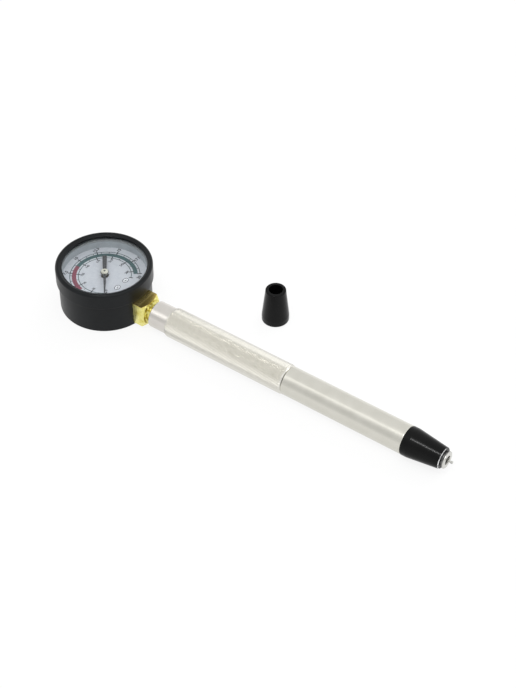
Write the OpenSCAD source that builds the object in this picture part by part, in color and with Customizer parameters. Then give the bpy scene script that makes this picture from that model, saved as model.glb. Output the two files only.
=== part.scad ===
// Push-in compression tester with a 50 mm dial gauge, a knurled handle, a smooth barrel and a rubber cone.
// The origin is the middle of the gauge's flat back, +X runs along the barrel and +Z out of the dial.

/* [Gauge case] */
// Outside diameter of the case
case_d = 50; // [44:0.5:63]
// Height of the case, from its back to its rim
case_h = 22; // [19.5:0.5:26]
// Wall of the case above the dial
case_wall = 1; // [0.8:0.1:1.1]
// Extra wall below the dial, whose top is the dial's ledge
ledge_w = 0.9; // [0.6:0.1:1]
// Thickness of the case's back
back_t = 1.2; // [1:0.1:1.4]

/* [Dial and lens] */
// Depth of the dial's face below the case's rim
dial_depth = 4.1; // [3.8:0.1:4.5]
// Thickness of the dial plate
dial_t = 0.8; // [0.5:0.1:1]
// How far the bezel's lip reaches in past the case's inner wall
lip_cover = 1.2; // [0.8:0.1:2]
// Thickness of the lens
lens_t = 2.1; // [1.6:0.1:2.5]
// Thickness of the gasket under the lens
gasket_t = 0.8; // [0.5:0.1:1]
// Wall of the bezel's skirt
bezel_wall = 1.1; // [0.8:0.05:1.4]
// Thickness of the bezel's lip over the lens
lip_t = 1.8; // [1.4:0.1:2.4]
// Height of the bezel ring
bezel_h = 9.5; // [8:0.5:10]

/* [Pointer] */
// How far the needle's tip stops short of the window's edge
needle_gap = 5.3; // [3:0.1:9]
// How far the broad tail stops short of the window's edge
tail_gap = 9.3; // [8:0.1:14]
// Width of the broad tail at its end
tail_w = 2.5; // [1.8:0.1:2.8]
// Height of the pointer above the dial
pointer_lift = 2.1; // [1.6:0.1:2.6]
// Direction of the zero mark, from the stem towards the left of the dial
zero_angle = 51; // [45:1:60]

/* [Movement] */
// Gear module of the sector and the pinion in a 50 mm case
gear_module = 0.25; // [0.23:0.01:0.25]
// Teeth of the pinion
pinion_teeth = 12; // [12:1:12]
// Teeth that a whole wheel of the sector's size would have
wheel_teeth = 84; // [80:1:84]
// Travel of the pointer in degrees
pointer_travel = 285; // [260:5:285]
// Distance between the two movement plates in a 22 mm high case
plate_space = 6; // [5.8:0.1:6.5]
// Thickness of the movement plates in a 22 mm high case
plate_t = 1; // [0.8:0.1:1.1]
// Clearance in the pivots, on the radius
pivot_gap = 0.04; // [0.02:0.01:0.08]

/* [Pressure tube] */
// Width of the flattened tube across its long way
tube_w = 7; // [6:0.5:7.5]
// Thickness of the flattened tube
tube_t = 2.2; // [1.8:0.1:2.6]
// Wall of the flattened tube
tube_wall = 0.3; // [0.2:0.05:0.4]
// Room left for the tube to open, inside the case
tube_room = 2.8; // [2.4:0.1:3]

/* [Stem] */
// Height of the stem's axis above the gauge's back
stem_z = 8.5; // [8.4:0.1:9.2]
// Width of the brass square in a case 22 mm high or more
block_w = 13.5; // [12.5:0.5:14]
// How far the brass square stands out of the case
block_reach = 6.5; // [5:0.5:9]
// Diameter of the round shoulder in front of the square, in a case 22 mm high or more
shoulder_d = 12.6; // [11:0.2:13]
// Length of the round shoulder
shoulder_l = 3.1; // [2:0.1:5]
// Diameter of the screwed stubs at the socket and the nozzle
stub_d = 9.8; // [9:0.1:10.4]
// Length of the socket's stub inside the handle
socket_stub_l = 9.4; // [8:0.2:12]
// Bore of the air passage
passage_d = 3.5; // [2.5:0.1:4]

/* [Handle] */
// Diameter of the knurled handle
handle_d = 16.5; // [16:0.1:16.8]
// Diameter of the plain neck
neck_d = 14.8; // [14:0.1:15.4]
// Length of the plain neck
neck_l = 10.7; // [9:0.1:14]
// Length of the knurled stretch
knurl_l = 74.3; // [60:0.5:90]
// Bevel at the ends of the knurling
knurl_bevel = 0.8; // [0.4:0.1:1.2]

/* [Barrel] */
// Diameter of the smooth barrel
barrel_d = 15.6; // [14.6:0.1:16]
// Length of the smooth barrel that shows
barrel_l = 71.4; // [50:0.5:100]
// Diameter of the barrel's screwed stub
barrel_stub_d = 11.8; // [11:0.1:12.4]
// Length of the barrel's stub inside the handle
barrel_stub_l = 14.6; // [10:0.2:18]

/* [Nozzle and cones] */
// Diameter of the nozzle's stem under the cone
stem_d = 8.2; // [7.6:0.1:8.6]
// Length of the nozzle's screwed stub
nozzle_stub_l = 12; // [8:0.5:14]
// Diameter of the bead that keeps the cone on
bead_d = 9.3; // [8.8:0.1:10]
// Length of the bead
bead_l = 1.8; // [1.4:0.1:2.6]
// Length of the fitted cone
cone_l = 21; // [18:0.5:26]
// Large diameter of the fitted cone
cone_d1 = 15.8; // [14.6:0.1:16.4]
// Small diameter of the fitted cone
cone_d2 = 11.5; // [10.6:0.1:12.4]
// Straight band at the large end of both cones
cone_land = 3.5; // [1:0.5:6]
// Height of the spare cone
spare_l = 21; // [18:0.5:26]
// Large diameter of the spare cone
spare_d1 = 14.8; // [13.8:0.1:16]
// Small diameter of the spare cone
spare_d2 = 11; // [9.8:0.1:11.6]
// Bore of the spare cone
spare_bore_d = 7.5; // [6.5:0.1:8.2]
// Where the spare cone stands, along the tester
spare_x = 83; // [50:0.5:160]
// Where the spare cone stands, beside the tester
spare_y = 41.3; // [30:0.1:80]

/* [Valve] */
// Diameter of the valve core
core_d = 4.8; // [4.4:0.1:5]
// Length of the valve core
core_l = 13; // [12:0.5:14]
// Diameter of the valve pin
pin_d = 1.1; // [1:0.1:1.4]
// How far the pin stands out of the bead
pin_out = 2.9; // [2:0.1:4]
// Travel of the pin
pin_travel = 1.2; // [0.6:0.1:1.4]
// Turns of the valve spring
spring_turns = 5; // [4:1:6]
// Wire of the valve spring
spring_wire = 0.3; // [0.2:0.05:0.35]

/* [Hidden] */
$fn = 96;

// Clearances: a slide fit, a screwed or brazed fit, a thread in its hole, and the cut past a face
slide_gap = 0.1;
fit_gap = 0.05;
thread_gap = 0.02;
cut = 1;

// The case and what closes it
case_r = case_d / 2;
rim_r = case_r - case_wall;
low_r = rim_r - ledge_w;
case_edge = 0.6;
case_corner = 0.8;
dial_z = case_h - dial_depth;
ledge_z = dial_z - dial_t;
lens_z = case_h + gasket_t;
lip_z = lens_z + lens_t;
bezel_top = lip_z + lip_t;
bezel_bottom = bezel_top - bezel_h;
bezel_r = case_r + fit_gap + bezel_wall;
bezel_round = min(1.5, lip_t * 0.85);
bezel_foot = 0.3;
lip_round = 0.5;
lip_fall = 0.15;
window_r = rim_r - lip_cover;
disc_r = rim_r - slide_gap;
dial_hole_r = 2.2;

// The pressure tube runs round the case from the socket to its tip
tube_r = low_r - tube_room - tube_t / 2;
tube_in_r = tube_r - tube_t / 2;
root_angle = -13;
tip_angle = 60;
tube_turn = 360 + root_angle - tip_angle;
plug_angle = 5;
cap_angle = 3;
socket_angle = 15;

// What is inside follows the case: the listed sizes belong to this tube radius and case height
listed_tube_r = 19.2;
listed_case_h = 22;
plan = tube_r / listed_tube_r;
rise = case_h / listed_case_h;
shrink = min(1, rise);

// The movement stands on the socket's tongue
plate_drop = 1.9;
sector_lift = 2;
hairspring_drop = 1.6;
plate_h = plate_t * rise;
back_plate_z = stem_z - plate_drop;
plate_in_z = back_plate_z + plate_h;
front_plate_z = plate_in_z + plate_space * rise;
front_plate_top = front_plate_z + plate_h;
sector_z = plate_in_z + sector_lift * rise;
sector_t = 1;
pinion_over = 0.4;
pinion_z = sector_z - pinion_over;
pinion_h = sector_t + 2 * pinion_over;
link_z = sector_z + sector_t + slide_gap;
link_t = 0.5;
link_w = 1.4;
link_foot_z = sector_z - 0.5;
hairspring_z = front_plate_z - hairspring_drop * rise;
hairspring_h = 0.5;
collet_r = 1.2;
collet_over = 0.3;
strip_t = 0.12;
stud_r = 0.45;
pivot_r = 0.4;
shaft_r = 0.7;
top_pivot_r = 0.6;
top_pivot_h = 0.5;
arbor_r = 0.5;

// The pointer and its hub
pointer_z = dial_z + pointer_lift;
pointer_t = 0.35;
pointer_disc_r = 2.4;
needle_w = 1.6;
needle_end_w = 0.6;
needle_point = 0.5;
bush_r = 1.5;
bush_h = 1.2;
hub_wall = 0.5;
hub_neck_r = arbor_r + hub_wall;
cap_r = 2;
cap_top_r = 1.8;
cap_h = 0.85;
arbor_top = pointer_z + pointer_t + cap_h + slide_gap;

// The gear pair
pressure_angle = 20;
module_in_case = gear_module * plan;
pinion_pitch_r = module_in_case * pinion_teeth / 2;
wheel_pitch_r = module_in_case * wheel_teeth / 2;
gear_centre = pinion_pitch_r + wheel_pitch_r;
sector_angle = -20;
sector_pos = gear_centre * [cos(sector_angle), sin(sector_angle)];
sector_travel = pointer_travel * pinion_teeth / wheel_teeth;
tooth_step = 360 / wheel_teeth;
sector_teeth = ceil(sector_travel / tooth_step) + 2;
tooth_slack = 0.03;
sector_rim = 1.2;
sector_arm = 1.4;
sector_hub_r = 1.9;
tail_bar = 1.8;

// The tail of the sector and the link that pulls it
sector_tail = 3.45;
tail_arm = sector_tail * plan;
tail_pos = sector_pos + tail_arm * [cos(-sector_travel / 2), sin(-sector_travel / 2)];
link_rise = 2 * tail_arm * sin(sector_travel / 2);
link_bulge = tail_arm * (1 - cos(sector_travel / 2));
tip_pin_angle = 46;
tip_pin_inset = 0.45;
tip_pin_pos = (tube_in_r - tip_pin_inset) * [cos(tip_pin_angle), sin(tip_pin_angle)];
link_end = 1.1;
link_end_r = link_end * plan;
link_pin_r = 0.4;
link_head_r = 0.8;
link_foot_r = 0.7;
pin_hole_r = link_pin_r + fit_gap;
ear_side = 1.5;
ear_l = 2.9;
ear_reach = ear_l * plan;
ear_end = 1.3;
ear_t = 0.7;

// Movement plates and their fastenings
plate_behind = 7.5;
plate_ahead = 15.9;
plate_left = 12.6;
plate_right = 7;
plate_x = [-plate_behind, plate_ahead] * plan;
plate_y = [-plate_left, plate_right] * plan;
plate_room = 0.8;
plate_limit_r = tube_in_r - plate_room;
pillar_x = 5;
pillar_y = 4.5;
pillar_y2 = 5.5;
third_pillar_x = 9;
third_pillar_y = 10.5;
pillar_pos = [[-pillar_x, pillar_y], [-pillar_x, -pillar_y2], [third_pillar_x, -third_pillar_y]] * plan;
pillar_r = 1.5;
pillar_screw_r = 0.8;
pillar_head_r = 1.4;
pillar_head_h = 0.8;
screw_grip = 3;
screw_tip_room = 0.2;
slot_w = 0.5;
hairspring_turns = 3.5;
hairspring_step = 0.9;
hairspring_pitch = hairspring_step * plan;
hairspring_r = collet_r + fit_gap + strip_t / 2;
stud_angle = 100;
stud_pos = (hairspring_r + hairspring_turns * hairspring_pitch + strip_t / 2 + stud_r)
    * [cos(stud_angle), sin(stud_angle)];

// The socket
block_side = block_w * shrink;
block_room = 0.6;
block_in = plate_x[1] + block_room;
block_front = case_r + block_reach;
block_bottom = stem_z - block_side / 2;
block_turned = 1.8;
block_bevel = block_turned * shrink;
corner_r = block_side * 0.72;
neck_x = block_front + shoulder_l;
stub_end = neck_x + socket_stub_l;
stub_r = stub_d / 2;
screw_bore_r = stub_r + fit_gap;
feed_r = 1.25;
feed_x = tube_r * cos(root_angle);
feed_depth = -tube_r * sin(root_angle) + 2 * slide_gap;
tongue_past = 3;
tongue_inset = 0.75;
tongue_room = 1;
tongue_x = -tongue_past * plan;
tongue_w = block_side - 2 * tongue_inset;
tongue_bottom = back_t + tongue_room;
movement_screw_r = 0.95;
movement_head_r = 1.5;
movement_head_h = 0.9;
movement_screw_ahead = 3.5;
movement_screw_inset = 1.8;
movement_screw_x = movement_screw_ahead * plan;
movement_screw_y = tongue_w / 2 - movement_screw_inset;
movement_screw_pos = [for (side = [-1, 1]) [movement_screw_x, side * movement_screw_y]];
case_screw_inset = 2.75;
case_screw_x = (block_in + low_r) / 2 - 2 * slide_gap;
case_screw_y = block_side / 2 - case_screw_inset;
case_screw_r = 1.4;
case_screw_head_r = 2.5;
case_screw_sink = 0.1;
case_screw_room = 0.5;
case_screw_end = stem_z - tube_w / 2 - case_screw_room;
case_screw_l = case_screw_end - case_screw_sink;
case_pad_r = 2.6;
recess_l = 2.6;
recess_w = 0.6;
recess_d = 0.7;

// The handle, the barrel and the nozzle, all along the stem's axis
passage_r = passage_d / 2;
seal_t = 1;
knurl_x = neck_x + neck_l;
barrel_x = knurl_x + knurl_l;
cone_x = barrel_x + barrel_l;
socket_seat = stub_end + seal_t;
barrel_stub_x = barrel_x - barrel_stub_l;
barrel_seat = barrel_stub_x - seal_t;
barrel_bore_r = barrel_stub_d / 2 + fit_gap;
nozzle_x = cone_x - nozzle_stub_l;
nozzle_seat = nozzle_x - seal_t;
cone_end = cone_x + cone_l;
cone_edge = 0.6;
bead_x = cone_end + 2 * slide_gap;
bead_edge = 0.4;
tip_x = bead_x + bead_l;
neck_edge = 0.4;
neck_fillet = max(0.1, handle_d / 2 - knurl_bevel - neck_d / 2);
barrel_edge = 0.3;
stub_bevel = 0.5;

// The valve
core_r = core_d / 2;
chamber_r = core_r + fit_gap;
core_sink = 1;
core_top = tip_x - core_sink;
core_bottom = core_top - core_l;
core_wall = 3;
core_lid = 1.8;
core_head_l = 6;
core_waist = 0.5;
core_waist_r = core_r - core_waist;
core_cavity_r = 1.5;
core_gasket_l = 2.5;
pin_r = pin_d / 2;
pin_shaft_r = pin_r - fit_gap;
pin_knob = 0.2;
pin_knob_r = pin_r + pin_knob;
pin_knob_l = 1;
pin_round = 0.25;
collar_room = 1.6;
collar_x = core_top - core_lid - collar_room;
collar_t = 0.6;
collar_r = 1.3;
poppet_r = 1.5;
seal_r = 1.6;
valve_seal_t = 1.15;
poppet_t = 1.2;
poppet_x = core_bottom - fit_gap - valve_seal_t - poppet_t;
poppet_room = 0.4;
chamber_x = poppet_x - pin_travel - poppet_room;
spring_mean_r = 1;
spring_start = core_bottom + core_wall + spring_wire / 2 + thread_gap;
spring_end = collar_x - spring_wire / 2 - thread_gap;
spring_rings = 8;
spring_sides = 6;

// Points along an arc, from one angle to another
function arc(c, r, a0, a1, n) = [for (i = [0:n]) let (a = a0 + (a1 - a0) * i / n) c + r * [cos(a), sin(a)]];

// Involute angle, in degrees, of a flank at a radius
function flank_angle(base_r, r) = let (a = acos(min(1, base_r / max(r, base_r)))) tan(a) * 180 / PI - a;

// Outline of one tooth, from its right root to its left root
function tooth(pitch_r, teeth, root_r, tip_r, centre) = let (
    base_r = pitch_r * cos(pressure_angle),
    half = 90 / teeth - tooth_slack / pitch_r * 180 / PI + flank_angle(base_r, pitch_r),
    foot_r = max(root_r, base_r),
    flank = [foot_r, (foot_r + pitch_r) / 2, pitch_r, (pitch_r + tip_r) / 2, tip_r],
    radii = root_r < base_r ? concat([root_r], flank) : flank,
    last = len(radii) - 1
) concat(
    [for (i = [0:last]) radii[i] * [cos(centre - half + flank_angle(base_r, radii[i])),
        sin(centre - half + flank_angle(base_r, radii[i]))]],
    [for (i = [last:-1:0]) radii[i] * [cos(centre + half - flank_angle(base_r, radii[i])),
        sin(centre + half - flank_angle(base_r, radii[i]))]]
);

// Turns what is drawn along +Z so that it runs along the stem's axis from x
module along_stem(x) {
    translate([x, 0, stem_z]) rotate([0, 90, 0]) children();
}

// A round bar along the stem's axis
module bar(x0, x1, r) {
    along_stem(x0) cylinder(r = r, h = x1 - x0);
}

// A round ring along the stem's axis
module ring(x0, x1, r_out, r_in) {
    difference() {
        bar(x0, x1, r_out);
        bar(x0 - cut, x1 + cut, r_in);
    }
}

// An upright ring
module flat_ring(z0, z1, r_out, r_in) {
    difference() {
        translate([0, 0, z0]) cylinder(r = r_out, h = z1 - z0);
        translate([0, 0, z0 - cut]) cylinder(r = r_in, h = z1 - z0 + 2 * cut);
    }
}

// The flattened section of the pressure tube, made smaller by inset
module tube_section(inset) {
    half_t = tube_t / 2 - inset;
    straight = tube_w / 2 - tube_t / 2;
    translate([tube_r - half_t, stem_z - straight]) square([2 * half_t, 2 * straight]);
    translate([tube_r, stem_z + straight]) circle(r = half_t, $fn = 32);
    translate([tube_r, stem_z - straight]) circle(r = half_t, $fn = 32);
}

// A stretch of the pressure tube's section, turned about the gauge's axis
module tube_sweep(start, sweep, inset) {
    rotate([0, 0, start]) rotate_extrude(angle = sweep) tube_section(inset);
}

// The black cup, with a ledge for the dial, a square opening for the socket and two screw pads
module gauge_case() {
    opening = block_side + 2 * slide_gap;
    color([0.05, 0.05, 0.055]) difference() {
        union() {
            difference() {
                rotate_extrude() polygon(concat(
                    [[0, 0]],
                    arc([case_r - case_edge, case_edge], case_edge, -90, 0, 4),
                    [[case_r, case_h], [rim_r, case_h], [rim_r, ledge_z], [low_r, ledge_z]],
                    arc([low_r - case_corner, back_t + case_corner], case_corner, 0, -90, 4),
                    [[0, back_t]]
                ));
                translate([block_in, -opening / 2, block_bottom - slide_gap])
                    cube([block_front - block_in, opening, opening]);
            }
            for (side = [-1, 1])
                translate([case_screw_x, side * case_screw_y, 0])
                    cylinder(r = case_pad_r, h = block_bottom);
        }
        for (side = [-1, 1]) translate([case_screw_x, side * case_screw_y, 0]) {
            translate([0, 0, -cut]) cylinder(r = case_screw_r + slide_gap, h = block_bottom + 2 * cut);
            translate([0, 0, -cut]) cylinder(r = case_screw_head_r + fit_gap, h = cut + case_screw_sink);
            translate([0, 0, case_screw_sink]) cylinder(
                r1 = case_screw_head_r + fit_gap,
                r2 = case_screw_r + fit_gap,
                h = case_screw_head_r - case_screw_r
            );
        }
    }
}

// The rounded ring that holds the lens down on the case
module bezel_ring() {
    color([0.06, 0.06, 0.065]) rotate_extrude() polygon(concat(
        [[case_r + fit_gap, bezel_bottom], [bezel_r - bezel_foot, bezel_bottom]],
        [[bezel_r, bezel_bottom + bezel_foot]],
        arc([bezel_r - bezel_round, bezel_top - bezel_round], bezel_round, 0, 90, 6),
        arc([window_r + lip_round, bezel_top - lip_fall - lip_round], lip_round, 90, 180, 4),
        [[window_r, lip_z], [case_r + fit_gap, lip_z]]
    ));
}

// The clear disc
module lens() {
    color([0.9, 0.95, 0.97, 0.3]) translate([0, 0, lens_z]) cylinder(r = case_r - fit_gap, h = lens_t);
}

// The soft ring between the case's rim and the lens
module lens_gasket() {
    color([0.4, 0.42, 0.41]) flat_ring(case_h, lens_z, case_r - slide_gap, window_r + slide_gap);
}

// The pale ring that holds the dial down on its ledge
module spacer_ring() {
    color([0.8, 0.82, 0.85]) flat_ring(dial_z, case_h, disc_r, window_r);
}

// The dial plate, with the hole for the pointer's arbor
module dial_plate() {
    color([0.85, 0.87, 0.9]) flat_ring(ledge_z, dial_z, disc_r, dial_hole_r);
}

// The flat needle with its disc and broad tail, at the zero mark
module pointer() {
    needle_l = window_r - needle_gap;
    tail_reach = window_r - tail_gap;
    tail_root_w = tail_w * 0.76;
    color([0.08, 0.08, 0.08]) translate([0, 0, pointer_z]) rotate([0, 0, -zero_angle])
        linear_extrude(pointer_t) difference() {
            union() {
                polygon([
                    [0, -needle_w / 2], [needle_l - needle_point, -needle_end_w / 2], [needle_l, 0],
                    [needle_l - needle_point, needle_end_w / 2], [0, needle_w / 2]
                ]);
                polygon([
                    [0, -tail_root_w / 2], [-tail_reach, -tail_w / 2],
                    [-tail_reach, tail_w / 2], [0, tail_root_w / 2]
                ]);
                circle(r = pointer_disc_r);
            }
            circle(r = hub_neck_r);
        }
}

// The bush that grips the arbor, with its cap on top of the needle's disc
module pointer_hub() {
    color([0.85, 0.8, 0.6]) difference() {
        union() {
            translate([0, 0, pointer_z - bush_h]) cylinder(r = bush_r, h = bush_h);
            translate([0, 0, pointer_z - bush_h / 2]) cylinder(r = hub_neck_r, h = bush_h);
            translate([0, 0, pointer_z + pointer_t]) cylinder(r1 = cap_r, r2 = cap_top_r, h = cap_h);
        }
        translate([0, 0, pointer_z - bush_h - cut]) cylinder(r = arbor_r, h = bush_h + cap_h + 2 * cut);
    }
}

// The arbor that turns the pointer, with the pinion cut on it
module pinion_arbor() {
    tip_r = pinion_pitch_r + 0.8 * module_in_case;
    root_r = pinion_pitch_r - 1.12 * module_in_case;
    color([0.65, 0.65, 0.67]) {
        translate([0, 0, pinion_z]) linear_extrude(pinion_h) polygon([
            for (k = [0:pinion_teeth - 1])
                let (centre = sector_angle + (k + 0.5) * 360 / pinion_teeth)
                each tooth(pinion_pitch_r, pinion_teeth, root_r, tip_r, centre)
        ]);
        translate([0, 0, back_plate_z + slide_gap]) cylinder(r = pivot_r, h = plate_h);
        translate([0, 0, plate_in_z + fit_gap])
            cylinder(r = shaft_r, h = front_plate_z - plate_in_z - 2 * fit_gap);
        translate([0, 0, front_plate_z - slide_gap]) cylinder(r = top_pivot_r, h = plate_h + top_pivot_h);
        translate([0, 0, front_plate_z]) cylinder(r = arbor_r, h = arbor_top - front_plate_z);
    }
}

// The ring that holds the hairspring's inner end on the arbor
module hairspring_collet() {
    color([0.8, 0.68, 0.35]) flat_ring(
        hairspring_z - collet_over, hairspring_z + hairspring_h + collet_over, collet_r, shaft_r
    );
}

// The flat spiral that keeps the teeth pressed to one side
module hairspring() {
    steps = 24;
    count = hairspring_turns * steps;
    line = [for (i = [0:count]) let (a = stud_angle - 360 * (count - i) / steps) [
        hairspring_r + hairspring_pitch * i / steps, a
    ]];
    color([0.75, 0.6, 0.3]) translate([0, 0, hairspring_z]) linear_extrude(hairspring_h) polygon(concat(
        [for (p = line) (p[0] + strip_t / 2) * [cos(p[1]), sin(p[1])]],
        [for (i = [count:-1:0]) (line[i][0] - strip_t / 2) * [cos(line[i][1]), sin(line[i][1])]]
    ));
}

// The post under the front plate that holds the hairspring's outer end
module hairspring_stud() {
    bottom = hairspring_z - collet_over;
    color([0.8, 0.68, 0.35]) translate([stud_pos[0], stud_pos[1], bottom])
        cylinder(r = stud_r, h = front_plate_z - bottom);
}

// The toothed sector with its two arms, its hub and its tail
module sector_gear() {
    tip_r = wheel_pitch_r + 0.64 * module_in_case;
    root_r = wheel_pitch_r - 1.08 * module_in_case;
    rim_in = root_r - sector_rim;
    first = sector_angle + 180 - (sector_teeth - 0.5) * tooth_step;
    last = sector_angle + 180 + 1.5 * tooth_step;
    color([0.82, 0.7, 0.38]) translate([sector_pos[0], sector_pos[1], sector_z])
        linear_extrude(sector_t) difference() {
            union() {
                polygon(concat(
                    [for (k = [1 - sector_teeth:1])
                        let (centre = sector_angle + 180 + k * tooth_step)
                        each tooth(wheel_pitch_r, wheel_teeth, root_r, tip_r, centre)],
                    arc([0, 0], rim_in, last, first, 16)
                ));
                for (a = [first + tooth_step, last - tooth_step]) rotate(a)
                    translate([0, -sector_arm / 2]) square([rim_in + sector_rim / 2, sector_arm]);
                rotate(-sector_travel / 2) translate([0, -tail_bar / 2]) square([tail_arm, tail_bar]);
                translate(tail_pos - sector_pos) circle(r = link_end_r);
                circle(r = sector_hub_r);
            }
            circle(r = shaft_r);
            translate(tail_pos - sector_pos) circle(r = pin_hole_r);
        }
}

// The shaft of the sector, pivoted in both plates
module sector_arbor() {
    color([0.8, 0.68, 0.35]) translate([sector_pos[0], sector_pos[1], 0]) {
        translate([0, 0, back_plate_z + slide_gap])
            cylinder(r = pivot_r, h = front_plate_top - back_plate_z - 2 * slide_gap);
        translate([0, 0, plate_in_z + fit_gap])
            cylinder(r = shaft_r, h = front_plate_z - plate_in_z - 2 * fit_gap);
    }
}

// The flat link from the tube's tip to the sector's tail
module link() {
    span = tip_pin_pos - tail_pos;
    color([0.82, 0.7, 0.38]) translate([tail_pos[0], tail_pos[1], link_z])
        linear_extrude(link_t) difference() {
            union() {
                circle(r = link_end_r);
                translate(span) circle(r = link_end_r);
                rotate(atan2(span[1], span[0])) translate([0, -link_w / 2]) square([norm(span), link_w]);
            }
            circle(r = link_pin_r);
            translate(span) circle(r = link_pin_r);
        }
}

// The two headed pins in the link's ends
module link_pins() {
    head_z = link_z + link_t;
    foot_h = 0.4;
    head_h = 0.3;
    color([0.75, 0.75, 0.76]) for (p = [tail_pos, tip_pin_pos]) translate([p[0], p[1], 0]) {
        translate([0, 0, link_foot_z]) cylinder(r = link_pin_r, h = head_z + head_h - link_foot_z);
        translate([0, 0, link_foot_z]) cylinder(r = link_foot_r, h = foot_h);
        translate([0, 0, head_z]) cylinder(r = link_head_r, h = head_h);
    }
}

// The outline that both movement plates share
module plate_outline() {
    difference() {
        intersection() {
            circle(r = plate_limit_r);
            translate([plate_x[0], plate_y[0]]) square([plate_x[1] - plate_x[0], plate_y[1] - plate_y[0]]);
        }
        translate(sector_pos) circle(r = pivot_r + pivot_gap);
    }
}

// The lower plate, screwed to the socket's tongue
module movement_back_plate() {
    color([0.82, 0.7, 0.38]) translate([0, 0, back_plate_z]) linear_extrude(plate_h) difference() {
        plate_outline();
        circle(r = pivot_r + pivot_gap);
        for (p = movement_screw_pos) translate(p) circle(r = movement_screw_r + fit_gap);
    }
}

// The upper plate, with the pointer's arbor through it
module movement_front_plate() {
    color([0.82, 0.7, 0.38]) translate([0, 0, front_plate_z]) linear_extrude(plate_h) difference() {
        plate_outline();
        circle(r = top_pivot_r + pivot_gap);
        for (p = pillar_pos) translate(p) circle(r = pillar_screw_r + fit_gap);
    }
}

// The three pillars between the plates
module movement_pillars() {
    hole = screw_grip + screw_tip_room;
    color([0.8, 0.68, 0.35]) for (p = pillar_pos) translate([p[0], p[1], plate_in_z]) difference() {
        cylinder(r = pillar_r, h = front_plate_z - plate_in_z);
        translate([0, 0, front_plate_z - plate_in_z - hole])
            cylinder(r = pillar_screw_r + thread_gap, h = hole + cut);
    }
}

// A cheese-head screw that points down, with its head on z = 0
module cheese_screw(r, l, head_r, head_h) {
    translate([0, 0, -l]) cylinder(r = r, h = l + head_h / 2);
    difference() {
        cylinder(r = head_r, h = head_h);
        translate([-head_r - cut, -slot_w / 2, head_h / 2]) cube([2 * (head_r + cut), slot_w, head_h]);
    }
}

// The screws that hold the upper plate on its pillars
module pillar_screws() {
    color([0.8, 0.68, 0.35]) for (p = pillar_pos) translate([p[0], p[1], front_plate_top])
        cheese_screw(pillar_screw_r, plate_h + screw_grip, pillar_head_r, pillar_head_h);
}

// The screws that hold the movement on the tongue
module movement_screws() {
    color([0.7, 0.7, 0.72]) for (p = movement_screw_pos) translate([p[0], p[1], plate_in_z])
        cheese_screw(movement_screw_r, plate_h + screw_grip, movement_head_r, movement_head_h);
}

// The flattened tube that opens as the pressure rises
module bourdon_tube() {
    color([0.8, 0.62, 0.3]) difference() {
        tube_sweep(tip_angle, tube_turn, 0);
        tube_sweep(tip_angle - 1, tube_turn + 2, tube_wall);
    }
}

// The end piece that closes the tube, with the slotted ear for the link's pin
module tube_tip() {
    slot_x = 2 * (pin_hole_r + link_bulge);
    slot_y = 2 * pin_hole_r + link_rise;
    color([0.82, 0.7, 0.38]) difference() {
        union() {
            tube_sweep(tip_angle, plug_angle, tube_wall + thread_gap);
            tube_sweep(tip_angle - cap_angle, cap_angle, 0);
            translate([tip_pin_pos[0] - ear_reach, tip_pin_pos[1] - ear_end, sector_z + sector_t - ear_t])
                cube([ear_reach + ear_side, link_rise + 2 * ear_end, ear_t]);
        }
        translate([tip_pin_pos[0] - slot_x / 2, tip_pin_pos[1] - pin_hole_r, sector_z - cut])
            cube([slot_x, slot_y, sector_t + 2 * cut]);
    }
}

// The brass socket: the tongue under the movement, the square, the shoulder and the screwed stub
module gauge_socket() {
    screw_hole_z = back_plate_z - screw_grip - screw_tip_room;
    color([0.85, 0.8, 0.3]) difference() {
        union() {
            intersection() {
                translate([block_in, -block_side / 2, block_bottom])
                    cube([block_front - block_in, block_side, block_side]);
                union() {
                    bar(block_in - cut, block_front - block_bevel, block_side);
                    along_stem(block_front - block_bevel)
                        cylinder(r1 = corner_r, r2 = block_side / 2, h = block_bevel);
                }
            }
            bar(block_front - cut, neck_x, shoulder_d / 2 * shrink);
            bar(neck_x - cut, stub_end, stub_r);
            translate([tongue_x, -tongue_w / 2, tongue_bottom])
                cube([block_in - tongue_x + cut, tongue_w, back_plate_z - tongue_bottom]);
        }
        bar(feed_x - feed_r, stub_end + cut, feed_r);
        translate([feed_x, 0, stem_z]) rotate([90, 0, 0])
            cylinder(r = tube_t / 2 - tube_wall, h = feed_depth);
        tube_sweep(root_angle - socket_angle, socket_angle + 0.2, -thread_gap / 2);
        for (side = [-1, 1]) translate([case_screw_x, side * case_screw_y, block_bottom - cut])
            cylinder(
                r = case_screw_r + thread_gap,
                h = case_screw_end + screw_tip_room - block_bottom + cut
            );
        for (p = movement_screw_pos) translate([p[0], p[1], screw_hole_z])
            cylinder(r = movement_screw_r + thread_gap, h = screw_grip + screw_tip_room + cut);
    }
}

// The countersunk screws through the case's back into the socket
module case_screws() {
    color([0.65, 0.65, 0.67]) for (side = [-1, 1])
        translate([case_screw_x, side * case_screw_y, case_screw_sink]) difference() {
            union() {
                cylinder(r = case_screw_r, h = case_screw_l);
                cylinder(r1 = case_screw_head_r, r2 = case_screw_r, h = case_screw_head_r - case_screw_r);
            }
            for (turn = [45, 135]) rotate([0, 0, turn])
                translate([-recess_l / 2, -recess_w / 2, -cut]) cube([recess_l, recess_w, cut + recess_d]);
        }
}

// The sealing washer at the bottom of the handle's screwed bore
module socket_seal() {
    color([0.5, 0.2, 0.12]) ring(stub_end, socket_seat, stub_r - fit_gap, passage_r + fit_gap);
}

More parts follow.
